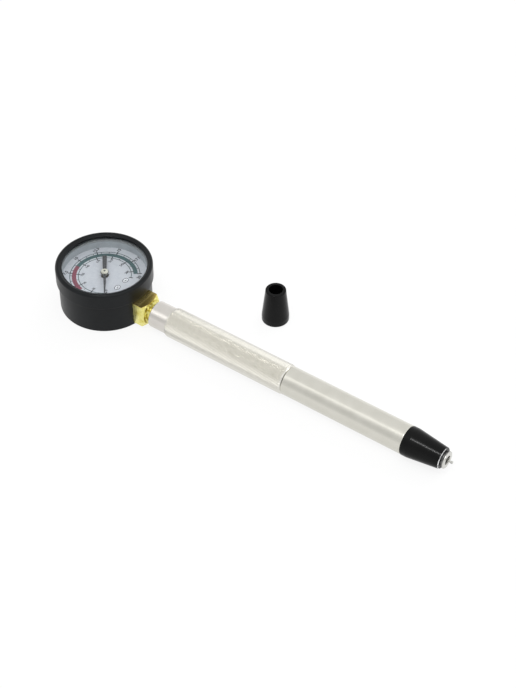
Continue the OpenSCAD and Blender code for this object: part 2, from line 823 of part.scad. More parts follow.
// The handle: plain neck, knurled grip with bevelled ends, and a screwed bore at each end
module handle() {
    neck_r = neck_d / 2;
    grip_r = handle_d / 2;
    color([0.8, 0.8, 0.77]) difference() {
        along_stem(0) rotate_extrude() polygon(concat(
            [[0, neck_x]],
            arc([neck_r - neck_edge, neck_x + neck_edge], neck_edge, -90, 0, 4),
            [[neck_r, knurl_x - neck_fillet], [neck_r + neck_fillet, knurl_x]],
            [[grip_r, knurl_x + knurl_bevel]],
            [[grip_r, barrel_x - knurl_bevel], [grip_r - knurl_bevel / 2, barrel_x], [0, barrel_x]]
        ));
        bar(neck_x - cut, socket_seat, screw_bore_r);
        bar(socket_seat - cut, barrel_seat + cut, passage_r);
        bar(barrel_seat, barrel_x + cut, barrel_bore_r);
    }
}

// The sealing washer between the handle and the barrel
module barrel_seal() {
    color([0.5, 0.2, 0.12])
        ring(barrel_seat, barrel_stub_x, barrel_bore_r - slide_gap, passage_r + fit_gap);
}

// The smooth barrel with its screwed stub
module barrel() {
    barrel_r = barrel_d / 2;
    color([0.85, 0.85, 0.83]) difference() {
        union() {
            bar(barrel_stub_x, barrel_x + cut, barrel_stub_d / 2);
            along_stem(0) rotate_extrude() polygon([
                [0, barrel_x], [barrel_r, barrel_x], [barrel_r, cone_x - barrel_edge],
                [barrel_r - barrel_edge, cone_x], [0, cone_x]
            ]);
        }
        bar(barrel_stub_x - cut, nozzle_seat + cut, passage_r);
        bar(nozzle_seat, cone_x + cut, screw_bore_r);
    }
}

// The sealing washer between the barrel and the nozzle
module nozzle_seal() {
    color([0.5, 0.2, 0.12]) ring(nozzle_seat, nozzle_x, stub_r - fit_gap, passage_r + fit_gap);
}

// The nozzle: screwed stub, stem for the cone, end bead, and the chamber of the valve core
module nozzle() {
    stem_r = stem_d / 2;
    bead_r = bead_d / 2;
    color([0.78, 0.78, 0.76]) difference() {
        along_stem(0) rotate_extrude() polygon(concat(
            [[0, nozzle_x], [stub_r - stub_bevel, nozzle_x]],
            [[stub_r, nozzle_x + stub_bevel], [stub_r, cone_x]],
            [[stem_r, cone_x], [stem_r, bead_x]],
            arc([bead_r - bead_edge, bead_x + bead_edge], bead_edge, -90, 0, 4),
            arc([bead_r - bead_edge, tip_x - bead_edge], bead_edge, 0, 90, 4),
            [[0, tip_x]]
        ));
        bar(nozzle_x - cut, chamber_x + cut, passage_r);
        bar(chamber_x, tip_x + cut, chamber_r);
    }
}

// A rubber cone along +Z: a straight band, then a taper, with rounded edges and a through bore
module cone(l, r1, r2, bore_r, land) {
    slope = atan((r1 - r2) / (l - land));
    difference() {
        rotate_extrude() polygon(concat(
            [[0, 0]],
            arc([r1 - cone_edge, cone_edge], cone_edge, -90, 0, 4),
            [[r1, land]],
            arc([r2 - cone_edge, l - cone_edge], cone_edge, slope, 90, 4),
            [[0, l]]
        ));
        translate([0, 0, -cut]) cylinder(r = bore_r, h = l + 2 * cut);
    }
}

// The rubber cone on the nozzle
module fitted_cone() {
    color([0.08, 0.08, 0.08]) along_stem(cone_x)
        cone(cone_l, cone_d1 / 2, cone_d2 / 2, stem_d / 2 + fit_gap, cone_land);
}

// The brass body of the valve core, with its screwed head, its waist and the spring's cavity
module valve_core_body() {
    color([0.8, 0.68, 0.3]) difference() {
        union() {
            bar(core_bottom, core_top, core_waist_r);
            bar(core_top - core_head_l, core_top, core_r);
        }
        bar(core_bottom - cut, core_top, pin_shaft_r + fit_gap);
        bar(core_bottom + core_wall, core_top - core_lid, core_cavity_r);
        bar(core_top - core_lid - cut, core_top + cut, pin_r + fit_gap);
    }
}

// The soft ring round the waist of the valve core
module valve_core_gasket() {
    x = core_bottom + core_wall / 3;
    color([0.75, 0.15, 0.12]) ring(x, x + core_gasket_l, core_r, core_waist_r);
}

// The valve pin, with its poppet at the inner end, the spring's collar and the rounded knob
module valve_pin() {
    end_x = tip_x + pin_out;
    color([0.75, 0.75, 0.73]) {
        bar(poppet_x, poppet_x + poppet_t, poppet_r);
        bar(poppet_x, end_x - pin_knob_l / 2, pin_shaft_r);
        bar(collar_x, collar_x + collar_t, collar_r);
        bar(collar_x + collar_t, end_x - pin_knob_l / 2, pin_r);
        along_stem(0) rotate_extrude() polygon(concat(
            [[0, end_x - pin_knob_l]],
            [[pin_knob_r, end_x - pin_knob_l]],
            arc([pin_knob_r - pin_round, end_x - pin_round], pin_round, 0, 90, 3),
            [[0, end_x]]
        ));
    }
}

// The soft disc on the poppet that closes the core's inner end
module valve_seal() {
    x = poppet_x + poppet_t;
    color([0.12, 0.12, 0.12]) ring(x, x + valve_seal_t, seal_r, pin_shaft_r);
}

// Centre line of the valve spring, as a helix about the stem's axis
spring_count = spring_turns * spring_rings;
function spring_point(i) = let (a = 360 * i / spring_rings) [
    spring_start + (spring_end - spring_start) * i / spring_count,
    spring_mean_r * cos(a),
    stem_z + spring_mean_r * sin(a)
];
spring_gap = (spring_end - spring_start) / spring_turns - spring_wire;
echo(str("least gap between the curls of the valve spring, mm: ", spring_gap));
echo(str("least gap between the turns of the hairspring, mm: ", hairspring_pitch - strip_t));

// The small coil spring that closes the valve
module valve_spring() {
    wire_r = spring_wire / 2;
    points = [for (i = [0:spring_count]) let (a = 360 * i / spring_rings) for (j = [0:spring_sides - 1])
        let (b = 360 * j / spring_sides)
        spring_point(i) + wire_r * [sin(b), cos(b) * cos(a), cos(b) * sin(a)]
    ];
    sides = [for (i = [0:spring_count - 1]) for (j = [0:spring_sides - 1]) let (
        a = i * spring_sides + j,
        b = i * spring_sides + (j + 1) % spring_sides
    ) each [[a, a + spring_sides, b], [b, a + spring_sides, b + spring_sides]]];
    first = [for (j = [1:spring_sides - 2]) [0, j, j + 1]];
    top = spring_count * spring_sides;
    last = [for (j = [1:spring_sides - 2]) [top, top + j + 1, top + j]];
    color([0.7, 0.7, 0.72]) polyhedron(points, concat(sides, first, last));
}

// The spare cone, standing on its large end beside the tester
module spare_cone() {
    color([0.08, 0.08, 0.08]) translate([spare_x, spare_y, 0])
        cone(spare_l, spare_d1 / 2, spare_d2 / 2, spare_bore_d / 2, cone_land);
}

gauge_case();
bezel_ring();
lens();
lens_gasket();
spacer_ring();
dial_plate();
pointer();
pointer_hub();
pinion_arbor();
hairspring_collet();
hairspring();
hairspring_stud();
sector_gear();
sector_arbor();
link();
link_pins();
movement_back_plate();
movement_front_plate();
movement_pillars();
pillar_screws();
movement_screws();
bourdon_tube();
tube_tip();
gauge_socket();
case_screws();
socket_seal();
handle();
barrel_seal();
barrel();
nozzle_seal();
nozzle();
fitted_cone();
valve_core_body();
valve_core_gasket();
valve_pin();
valve_seal();
valve_spring();
spare_cone();
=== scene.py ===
"""Looks of a push-in cylinder compression tester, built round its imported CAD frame.

Lengths are millimetres until a mesh is made. The lamps, the floor, the camera's clipping and the
weld are given in metres. The gauge lies on its flat back at the origin with its dial facing +Z, and
the tube runs along +X with its centre line at STEM_Z.
"""

import math

import bmesh
import bpy
import numpy as np
from mathutils import Matrix, Vector


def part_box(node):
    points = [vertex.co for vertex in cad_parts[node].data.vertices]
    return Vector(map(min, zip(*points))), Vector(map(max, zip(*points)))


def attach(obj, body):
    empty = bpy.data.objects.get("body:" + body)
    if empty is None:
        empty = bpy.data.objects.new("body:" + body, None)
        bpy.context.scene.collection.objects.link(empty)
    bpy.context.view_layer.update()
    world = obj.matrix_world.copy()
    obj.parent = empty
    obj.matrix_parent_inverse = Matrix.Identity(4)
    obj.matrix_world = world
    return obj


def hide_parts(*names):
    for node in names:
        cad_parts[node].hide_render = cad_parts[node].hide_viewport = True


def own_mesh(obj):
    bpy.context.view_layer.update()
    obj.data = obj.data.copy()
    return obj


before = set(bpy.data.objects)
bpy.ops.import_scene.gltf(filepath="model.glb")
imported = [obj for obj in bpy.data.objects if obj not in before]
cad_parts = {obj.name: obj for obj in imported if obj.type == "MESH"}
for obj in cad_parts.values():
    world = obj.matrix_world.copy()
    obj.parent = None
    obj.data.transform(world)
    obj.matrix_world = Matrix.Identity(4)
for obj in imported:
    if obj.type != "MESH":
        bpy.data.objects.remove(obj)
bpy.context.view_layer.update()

MM = 0.001
TAU = 2 * math.pi


def extent(node, axis):
    """Where a CAD node starts and ends along an axis, in millimetres to the nearest micron."""
    k = "xyz".index(axis)
    return tuple(round(corner[k] / MM, 3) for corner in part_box(node))


# Places and sizes taken from the frame

STEM_Z = sum(extent("handle", "z")) / 2
DIAL_BACK, DIAL_Z = extent("dial_plate", "z")
BEZEL_FOOT, BEZEL_TOP = extent("bezel_ring", "z")
BEZEL_R = extent("bezel_ring", "x")[1]
LENS_TOP = extent("lens", "z")[1]
HANDLE_START, HANDLE_END = extent("handle", "x")
BARREL_START, BARREL_END = extent("barrel", "x")
NOZZLE_START, NOZZLE_END = extent("nozzle", "x")
CONE_END = extent("fitted_cone", "x")[1]
SPARE_FOOT, SPARE_TOP = extent("spare_cone", "z")
SPARE_PLACE = tuple(sum(extent("spare_cone", axis)) / 2 for axis in "xy")
POINTER_BACK, POINTER_FACE = extent("pointer", "z")
HUB_FOOT, HUB_TOP = extent("pointer_hub", "z")


# Shapes

POINTS_AROUND = 160


def with_arcs(corners, steps=5, hold=0.05):
    """A profile line through corners given as (along, radius, rounding).

    A corner with a rounding becomes an arc that touches both of its sides, each arc point being
    the arc's centre plus a blend of its first and last radius. A point is set a little way along
    each straight run, so that smooth shading stays inside the rounding.
    """
    straight, barely_bent = math.pi - 1e-3, 3.0
    points = np.array([corner[:2] for corner in corners], float)
    before = np.roll(points, 1, 0) - points
    after = np.roll(points, -1, 0) - points
    line = []
    for here, back, on, (_, _, rounding) in zip(points, before, after, corners):
        u, v = back / np.linalg.norm(back), on / np.linalg.norm(on)
        corner_angle = math.acos(float(np.clip(u @ v, -1, 1)))
        if rounding <= 0 or corner_angle > straight:
            line += [here + u * hold, here, here + v * hold] if corner_angle < barely_bent else [here]
            continue
        reach = rounding / math.tan(corner_angle / 2)
        start, end = here + u * reach, here + v * reach
        centre = here + (u + v) / np.linalg.norm(u + v) * rounding / math.sin(corner_angle / 2)
        turn = math.pi - corner_angle
        t = np.linspace(0, 1, steps + 1)[:, None]
        bend = np.sin((1 - t) * turn) * (start - centre) + np.sin(t * turn) * (end - centre)
        arc = centre + bend / math.sin(turn)
        line += [start + u * hold, *arc, end + v * hold]
    return np.array(line)


def grid_faces(rows, columns, wrap_rows, wrap_columns):
    """Quads between neighbouring points of a rows by columns grid, numbered row by row."""
    i = np.arange(rows if wrap_rows else rows - 1)[:, None]
    j = np.arange(columns if wrap_columns else columns - 1)[None, :]
    down, right = (i + 1) % rows, (j + 1) % columns
    quads = [i * columns + j, i * columns + right, down * columns + right, down * columns + j]
    return np.stack(np.broadcast_arrays(*quads), -1).reshape(-1, 4)


def capped_tube(rings, sides):
    """Faces of a tube of rings that each have so many sides, with its two ends closed."""
    last = (rings - 1) * sides
    caps = [tuple(range(sides - 1, -1, -1)), tuple(range(last, last + sides))]
    return [tuple(quad) for quad in grid_faces(rings, sides, False, True)] + caps


def revolved(profile, axis, centre=(0, 0), around=POINTS_AROUND):
    """Every profile point (along, radius) carried round the axis through centre.

    Point (i, j) is along_i on the axis, and radius_i times (cos a_j, sin a_j) across it.
    """
    angle = np.arange(around) / around * TAU
    along = np.repeat(profile[:, :1], around, 1)
    first = profile[:, 1:] * np.cos(angle) + centre[0]
    second = profile[:, 1:] * np.sin(angle) + centre[1]
    order = (along, first, second) if axis == "x" else (first, second, along)
    return np.stack(order, -1).reshape(-1, 3), grid_faces(len(profile), around, True, True)


def plate(outline, low, high):
    """A flat outline (x, y), given once round, as a plate: the outline at both heights, joined."""
    layers = [np.column_stack([outline, np.full(len(outline), z)]) for z in (low, high)]
    return np.concatenate(layers), capped_tube(2, len(outline))


def together(shapes):
    """Several (points, faces) shapes as one, the faces renumbered after the points before them."""
    points, faces, count = [], [], 0
    for shape_points, shape_faces in shapes:
        points.append(shape_points)
        faces += [tuple(int(k) + count for k in face) for face in shape_faces]
        count += len(shape_points)
    return np.concatenate(points), faces


def piece(name, shape, material, body="tester", nodes=(), sharp=32.0):
    """Makes the mesh in metres, welds its poles and seams, and turns its faces outwards.

    The piece rides on the body, stands for the CAD nodes, and takes the material it is given.
    """
    weld = 1e-7
    points, faces = shape
    mesh = bpy.data.meshes.new(name)
    mesh.from_pydata((np.asarray(points) * MM).tolist(), [], [tuple(map(int, f)) for f in faces])
    work = bmesh.new()
    work.from_mesh(mesh)
    bmesh.ops.remove_doubles(work, verts=work.verts, dist=weld)
    if work.calc_volume(signed=True) < 0:
        bmesh.ops.reverse_faces(work, faces=work.faces)
    work.to_mesh(mesh)
    work.free()
    mesh.shade_smooth()
    mesh.set_sharp_from_angle(angle=math.radians(sharp))
    made = bpy.data.objects.new(name, mesh)
    bpy.context.scene.collection.objects.link(made)
    mesh.materials.append(material)
    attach(made, body)
    if nodes:
        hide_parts(*nodes)
    return made


# Finishes


def tone(code):
    """A colour written as six hexadecimal digits, as linear light."""
    parts = [int(code[k : k + 2], 16) / 255 for k in (0, 2, 4)]
    return tuple(c / 12.92 if c <= 0.04045 else ((c + 0.055) / 1.055) ** 2.4 for c in parts) + (1,)


class Nodes:
    """Short ways to add the nodes of one shader tree and join them."""

    def __init__(self, tree):
        self.tree = tree

    def add(self, kind, **settings):
        """A new node of this kind, with its settings made."""
        node = self.tree.nodes.new(kind)
        for key, value in settings.items():
            setattr(node, key, value)
        return node

    def feed(self, socket, value):
        """Joins another node's output to a socket, or sets the socket to a plain value."""
        if isinstance(value, bpy.types.NodeSocket):
            self.tree.links.new(value, socket)
        else:
            socket.default_value = value

    def between(self, value, low, high, out_low, out_high, **settings):
        """Maps low to out_low and high to out_high, and stays at those ends beyond them."""
        node = self.add("ShaderNodeMapRange", **settings)
        self.feed(node.inputs["Value"], value)
        ends = {"From Min": low, "From Max": high, "To Min": out_low, "To Max": out_high}
        for key, number in ends.items():
            node.inputs[key].default_value = number
        return node.outputs["Result"]

    def reckoned(self, operation, *values):
        """A Math node's result for two or three values."""
        node = self.add("ShaderNodeMath", operation=operation)
        for socket, value in zip(node.inputs, values):
            self.feed(socket, value)
        return node.outputs[0]

    def product(self, a, b):
        """a times b."""
        return self.reckoned("MULTIPLY", a, b)

    def larger(self, a, b):
        """The larger of a and b."""
        return self.reckoned("MAXIMUM", a, b)

    def sum_of(self, a, b, share=1.0):
        """a plus share times b."""
        return self.reckoned("MULTIPLY_ADD", b, share, a)

    def parts_of(self, vector):
        """The X, Y and Z outputs of a vector."""
        node = self.add("ShaderNodeSeparateXYZ")
        self.feed(node.inputs[0], vector)
        return node.outputs

    def mixed_shader(self, share, first, second):
        """The first shader, with share of the second in its place."""
        node = self.add("ShaderNodeMixShader")
        self.feed(node.inputs["Fac"], share)
        self.feed(node.inputs[1], first)
        self.feed(node.inputs[2], second)
        return node.outputs["Shader"]


class Finish(Nodes):
    """One procedural finish: a Principled shader and the patterns that feed it.

    A name that is already taken is worked on further, and keeps what it has.
    """

    def __init__(self, name, metallic=0.0, roughness=0.4):
        self.material = bpy.data.materials.get(name)
        fresh = self.material is None
        if fresh:
            self.material = bpy.data.materials.new(name)
            self.material.use_nodes = True
        super().__init__(self.material.node_tree)
        self.shader = self.tree.nodes["Principled BSDF"]
        if fresh:
            self.shader.inputs["Metallic"].default_value = metallic
            self.shader.inputs["Roughness"].default_value = roughness
        self.place = self.add("ShaderNodeTexCoord").outputs["Object"]

    def stretched(self, per_axis):
        """Object coordinates with each axis multiplied, so a pattern is drawn out along the low ones."""
        node = self.add("ShaderNodeMapping")
        self.feed(node.inputs["Vector"], self.place)
        node.inputs["Scale"].default_value = per_axis
        return node.outputs["Vector"]

    def grain(self, scale=1.0, detail=3.0, rough=0.55, stretch=None):
        """Cloudy noise with features about 1/scale of a metre across."""
        node = self.add("ShaderNodeTexNoise")
        self.feed(node.inputs["Vector"], self.stretched(stretch) if stretch else self.place)
        node.inputs["Scale"].default_value = scale
        node.inputs["Detail"].default_value = detail
        node.inputs["Roughness"].default_value = rough
        return node.outputs["Fac"]

    def pits(self, scale):
        """Distance to the nearest of scattered points: small round dots where it is low."""
        node = self.add("ShaderNodeTexVoronoi")
        self.feed(node.inputs["Vector"], self.place)
        node.inputs["Scale"].default_value = scale
        return node.outputs["Distance"]

    def ramp(self, value, stops):
        """A value turned into a colour by stops, each (value, colour code)."""
        node = self.add("ShaderNodeValToRGB")
        self.feed(node.inputs["Fac"], value)
        elements = node.color_ramp.elements
        while len(elements) < len(stops):
            elements.new(0.5)
        for element, (place, code) in zip(elements, stops):
            element.position = place
            element.color = tone(code)
        return node.outputs["Color"]

    def blended(self, share, first, second):
        """Two colours mixed. Sockets 6 and 7 and output 2 are the Mix node's colours."""
        node = self.add("ShaderNodeMix", data_type="RGBA")
        self.feed(node.inputs["Factor"], share)
        self.feed(node.inputs[6], first)
        self.feed(node.inputs[7], second)
        return node.outputs[2]

    def colour(self, value):
        """The surface's own colour, plain or from a pattern."""
        self.feed(self.shader.inputs["Base Color"], value)

    def roughness(self, value):
        """How dull the surface is, from 0 for a mirror to 1, plain or from a pattern."""
        self.feed(self.shader.inputs["Roughness"], value)

    def specular(self, level):
        """How much a surface that isn't metal mirrors, where 0.5 is usual."""
        self.shader.inputs["Specular IOR Level"].default_value = level

    def relief(self, *layers):
        """Bumps laid one on another, each (height, depth in millimetres)."""
        normal = None
        for height, depth in layers:
            node = self.add("ShaderNodeBump")
            node.inputs["Strength"].default_value = 1.0
            node.inputs["Distance"].default_value = depth * MM
            self.feed(node.inputs["Height"], height)
            if normal is not None:
                self.feed(node.inputs["Normal"], normal)
            normal = node.outputs["Normal"]
        self.feed(self.shader.inputs["Normal"], normal)

    def surface(self, shader):
        """Shows this shader in place of the Principled one."""
        self.feed(self.tree.nodes["Material Output"].inputs["Surface"], shader)


def plated(name, light, dark, low_rough, high_rough, rings=0.004, smudge=140):
    """Plated turned metal: fine rings round the X axis, faint smudges and a little dullness."""
    metal = Finish(name, metallic=1.0)
    lathe = metal.grain(detail=4, rough=0.7, stretch=(5200, 60, 60))
    cloud = metal.grain(smudge, rough=0.5)
    metal.colour(metal.ramp(metal.sum_of(cloud, lathe, 0.25), [(0.3, dark), (0.9, light)]))
    dull = metal.sum_of(cloud, lathe, 0.35)
    metal.roughness(metal.between(dull, 0.4, 0.95, low_rough, high_rough))
    metal.relief((lathe, rings), (metal.grain(900), rings))
    return metal.material


def milled(name, light, mid, dark, low_rough, high_rough, metallic=1.0, lines=0.003):
    """Machined metal: cutter lines, a mottled tarnish in three tones and small dark spots."""
    metal = Finish(name, metallic=metallic)
    cutter = metal.grain(rough=0.65, stretch=(300, 300, 2600))
    cloud = metal.grain(260, detail=5, rough=0.62)
    spots = metal.between(metal.pits(700), 0.0, 0.16, 1.0, 0.0)
    tarnish = metal.sum_of(cloud, cutter, 0.2)
    colour = metal.ramp(tarnish, [(0.38, dark), (0.58, mid), (0.78, light)])
    metal.colour(metal.blended(metal.sum_of(0.0, spots, 0.35), colour, tone(dark)))
    dull = metal.sum_of(cloud, cutter, 0.4)
    metal.roughness(metal.between(dull, 0.45, 1.0, low_rough, high_rough))
    metal.relief((cutter, lines), (metal.grain(1800, detail=2), lines))
    return metal.material


def moulded(name, light, dark, low_rough, high_rough, grain=2600, depth=0.006, shine=0.5):
    """Moulded plastic or rubber: a fine pebble, slow tone changes and faint rubbed patches."""
    skin = Finish(name)
    skin.specular(shine)
    pebble = skin.grain(grain, detail=2, rough=0.5)
    cloud = skin.grain(120, detail=4, rough=0.6)
    rubbed = skin.sum_of(cloud, pebble, 0.3)
    skin.colour(skin.ramp(rubbed, [(0.4, dark), (0.85, light)]))
    skin.roughness(skin.between(rubbed, 0.45, 0.85, low_rough, high_rough))
    skin.relief((pebble, depth), (cloud, depth * 3))
    return skin.material


def painted(name, light, dark, roughness=0.45):
    """Flat paint or printing ink: slight mottling, orange peel and uneven gloss."""
    paint = Finish(name)
    cloud = paint.grain(420, detail=4, rough=0.6)
    peel = paint.grain(3200, detail=2, rough=0.5)
    paint.colour(paint.ramp(paint.sum_of(cloud, peel, 0.25), [(0.42, dark), (0.8, light)]))
    paint.roughness(paint.between(cloud, 0.3, 0.7, roughness - 0.07, roughness + 0.1))
    paint.relief((peel, 0.002))
    return paint.material


def pressed_fibre(name):
    """Red fibre washer: short tangled strands and a dull face."""
    fibre = Finish(name)
    strands = fibre.grain(detail=4, rough=0.7, stretch=(1200, 4200, 1500))
    fibre.colour(fibre.ramp(strands, [(0.3, "5a1712"), (0.6, "8e2a1e"), (0.8, "b0503c")]))
    fibre.roughness(fibre.between(strands, 0.3, 0.7, 0.6, 0.8))
    fibre.relief((strands, 0.02))
    return fibre.material


def clear_window(name):
    """The clear lens: light goes straight through, and the outer side mirrors a little, more at a slant."""
    sheet = Finish(name)
    sheet.tree.nodes.remove(sheet.shader)
    through = sheet.add("ShaderNodeBsdfTransparent")
    through.inputs["Color"].default_value = (0.965, 0.975, 0.985, 1)
    mirror = sheet.add("ShaderNodeBsdfGlossy")
    mirror.inputs["Color"].default_value = (1, 1, 1, 1)
    wiped = sheet.between(sheet.grain(150, rough=0.6), 0.4, 0.75, 0.02, 0.06)
    sheet.feed(mirror.inputs["Roughness"], wiped)
    slant = sheet.add("ShaderNodeFresnel")
    slant.inputs["IOR"].default_value = 1.49
    behind = sheet.add("ShaderNodeNewGeometry").outputs["Backfacing"]
    in_front = sheet.between(behind, 0.0, 1.0, 1.0, 0.0)
    share = sheet.product(slant.outputs["Fac"], in_front)
    sheet.surface(sheet.mixed_shader(share, through.outputs["BSDF"], mirror.outputs["BSDF"]))
    return sheet.material


def marked(material, code, along=None, near=None, above=None, far_share=0.0, patch=900, least=0.35):
    """Lays a second, patchy tone of painted light or shade over a finish, where all the given ranges hold.

    along is a band of X with soft ends. near is the Y where the tone is full and the Y where only
    far_share of it is left, and above is the Z where it starts and the Z where it is full.
    """
    fade = 0.08
    painted_light_finish = Finish(material.name)
    axes = painted_light_finish.parts_of(painted_light_finish.place)
    mask = painted_light_finish.between(painted_light_finish.grain(patch, rough=0.6), 0.42, 0.57, least, 1.0)
    ramps = []
    if along:
        ramps.append(("X", along[0], along[0] + fade, 0.0, 1.0))
        ramps.append(("X", along[1] - fade, along[1], 1.0, 0.0))
    if near:
        ramps.append(("Y", near[0], near[1], 1.0, far_share))
    if above:
        ramps.append(("Z", above[0], above[1], 0.0, 1.0))
    for axis, start, end, first, last in ramps:
        mask = painted_light_finish.product(mask, painted_light_finish.between(axes[axis], start * MM, end * MM, first, last))
    plain = painted_light_finish.shader.inputs["Base Color"].links[0].from_socket
    painted_light_finish.colour(painted_light_finish.blended(mask, plain, tone(code)))
    return material


KNURL_METAL = plated("handle_plating", "ebe9e2", "e3e1d9", 0.20, 0.27, smudge=600)
NECK_METAL = plated("neck_plating", "e3dfd9", "dbd7d1", 0.15, 0.21)
# Barrel plating with painted shade: a darker tone in the joint groove by the handle, on the near side above
# the centre line
TUBE_METAL = marked(
    plated("barrel_plating", "e2e0d7", "dad8ce", 0.20, 0.28),
    "65625a",
    along=(HANDLE_END - 0.1, HANDLE_END + 0.55),
    near=(-3.5, -1.0),
    above=(9.5, 12.5),
    least=0.7,
)
# Socket brass with painted shade and reflection: a darker tone on the shoulder next to the handle's neck,
# strongest on the near side
BRASS = marked(
    milled("socket_brass_milled", "fffab0", "f6ee92", "e0d060", 0.16, 0.27, metallic=0.9),
    "a48f14",
    along=(31.3, 34.7),
    near=(-4.0, 6.0),
    far_share=0.25,
    patch=620,
    least=0.1,
)
# The square's top gets painted reflection tones, browner than its sides; they start at the first of these
# heights and are full at the second
BRASS_TOP = (14.9, 15.2)
marked(BRASS, "f4dc8c", above=BRASS_TOP, patch=300, least=0.8)
# A darker painted reflection band across the middle of the square's top
marked(BRASS, "bea75c", along=(28.2, 31.7), above=BRASS_TOP, patch=300, least=0.7)
MOVEMENT_BRASS = milled("movement_brass_stamped", "e3c878", "cfae58", "9a7a34", 0.22, 0.4)
BRONZE = milled("bourdon_bronze", "d8a873", "b98a55", "7d5630", 0.25, 0.42)
STEEL = milled("screw_steel_bright", "c8c9cc", "b2b3b6", "85868a", 0.22, 0.4)
SPRING_STEEL = milled("spring_wire", "b5b7bb", "96989c", "6a6c70", 0.25, 0.42)
PIN_STEEL = milled("pin_steel_ground", "d8d8d4", "c4c4c0", "9b9b98", 0.14, 0.28)
ARBOR_STEEL = milled("arbor_steel_dark", "6a6a6c", "4a4a4c", "2c2c2e", 0.25, 0.4)
CASE_BLACK = moulded("case_black_plastic", "141719", "0e1012", 0.28, 0.38, shine=0.2)
RUBBER = dict(
    light="0c0c0c", dark="070707", low_rough=0.20, high_rough=0.25, grain=3400, depth=0.003, shine=0.15
)
CONE_RUBBER = moulded("cone_black_rubber", **RUBBER)
# Fitted cone rubber with a painted highlight: a white line round the rim of its end, on the side towards -Y
FITTED_RUBBER = marked(
    moulded("cone_rubber_rim_highlight", **RUBBER),
    "f8f8f8",
    along=(CONE_END - 0.4, CONE_END - 0.01),
    near=(0.5, 3.0),
)
# Nozzle plating with painted shade: a dark band on the stem just past the cone's end, fading to half on the
# far side
NOZZLE_NICKEL = marked(
    plated("nozzle_plating", "dcdbd6", "cbcac5", 0.22, 0.34),
    "4c4c4e",
    along=(CONE_END - 0.1, CONE_END + 1.5),
    near=(3.0, 5.0),
    far_share=0.5,
    least=0.7,
)
CORE_NICKEL = plated("valve_core_plating", "ecebe6", "d0cfca", 0.22, 0.36)
SOFT_RUBBER = moulded("seal_rubber", "1c1c1c", "101010", 0.5, 0.65, grain=3000, depth=0.012)
GASKET_GREY = moulded("gasket_rubber_grey", "979c9e", "85898b", 0.5, 0.65, grain=3000, depth=0.012)
CORE_RED = moulded("core_gasket_red", "b0342a", "7e1d18", 0.45, 0.6)
RING_PALE = moulded("spacer_ring_pale", "b2b8bb", "9ca2a6", 0.4, 0.55)
DIAL_WHITE = painted("dial_white", "cbcdd0", "bec1c6", 0.5)
POINTER_PAINT = painted("pointer_black_paint", "36383b", "242628", 0.42)
HUB_CREAM = painted("hub_cream_plastic", "d8d5c4", "c2bfae", 0.4)
PLATE_WHITE = painted("unit_plate_white", "fbfbfb", "f0f1f3", 0.45)
INK_DARK = painted("scale_ink", "1f2330", "14161f", 0.5)
INK_TEAL = painted("arc_ink_teal", "1d4a48", "143836", 0.5)
INK_GREEN = painted("band_ink_green", "3a5f60", "2c4c4d", 0.5)
INK_RED = painted("band_ink_red", "8e3f50", "763344", 0.5)
FIBRE_RED = pressed_fibre("seal_red_fibre")
WINDOW = clear_window("lens_clear_sheet")

SLOT_FINISH = {
    "case_black": CASE_BLACK,
    "lens_clear": WINDOW,
    "soft_black": SOFT_RUBBER,
    "gasket_grey": GASKET_GREY,
    "arbor_steel": ARBOR_STEEL,
    "ring_pale": RING_PALE,
    "dial_face": DIAL_WHITE,
    "pointer_black": POINTER_PAINT,
    "hub_cream": HUB_CREAM,
    "movement_brass": MOVEMENT_BRASS,
    "hairspring_bronze": BRONZE,
    "tube_bronze": BRONZE,
    "screw_steel": STEEL,
    "socket_brass": BRASS,
    "fibre_red": FIBRE_RED,
    "handle_nickel": KNURL_METAL,
    "barrel_nickel": TUBE_METAL,
    "cone_black": CONE_RUBBER,
    "core_brass": CORE_NICKEL,
    "core_red": CORE_RED,
    "pin_steel": PIN_STEEL,
    "spring_steel": SPRING_STEEL,
}
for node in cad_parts.values():
    for slot in node.material_slots:
        slot.material = SLOT_FINISH[slot.material.name.split(".")[0]]


# Bezel

BEZEL_SEAT_R = 25.05
LIP_CREST_R, LIP_EDGE_Z = 24.5, 25.8
OPENING_R = 22.8
OPENING_SHIFT = (0.25, 0.18)
SHIFT_START_R, SHIFT_REACH = 24.6, 1.7


def dished_bezel():
    """A turned line, with its opening set a little off centre.

    The lip's points move by a share of OPENING_SHIFT. The share is 0 at SHIFT_START_R and grows
    evenly to 1 at SHIFT_REACH further in.
    """
    outside = [(BEZEL_FOOT, BEZEL_SEAT_R, 0), (BEZEL_FOOT, BEZEL_R, 0.25), (BEZEL_TOP, BEZEL_R, 1.5)]
    lip = [(BEZEL_TOP, LIP_CREST_R, 0.6), (LIP_EDGE_Z, OPENING_R, 0.4), (LENS_TOP, OPENING_R, 0)]
    line = with_arcs(outside + lip + [(LENS_TOP, BEZEL_SEAT_R, 0)], steps=7)
    points, faces = revolved(line, "z")
    radius = np.hypot(points[:, 0], points[:, 1])
    share = np.clip((SHIFT_START_R - radius) / SHIFT_REACH, 0, 1)[:, None]
    points[:, :2] += share * OPENING_SHIFT
    return points, faces


piece("bezel_dished", dished_bezel(), CASE_BLACK, nodes=["bezel_ring"])


# Handle

AIR_BORE_R = 1.75
SOCKET_SEAT_R, SOCKET_SEAT_END = 4.95, 45.0
BARREL_SEAT_R, BARREL_SEAT_START = 5.95, 104.0
NECK_R, NECK_END = 7.4, 45.3
SHOULDER_X, SHOULDER_R, SHOULDER_BEVEL = 45.35, 7.5, 0.4
GRIP_START, GRIP_END = 45.8, 119.1
GRIP_R, GROOVE_R = 8.25, 7.81
KNURLS_AROUND, KNURLS_ALONG = 50, 66
END_R, END_BEVEL, BEVEL_R = 7.5, 0.4, 7.94


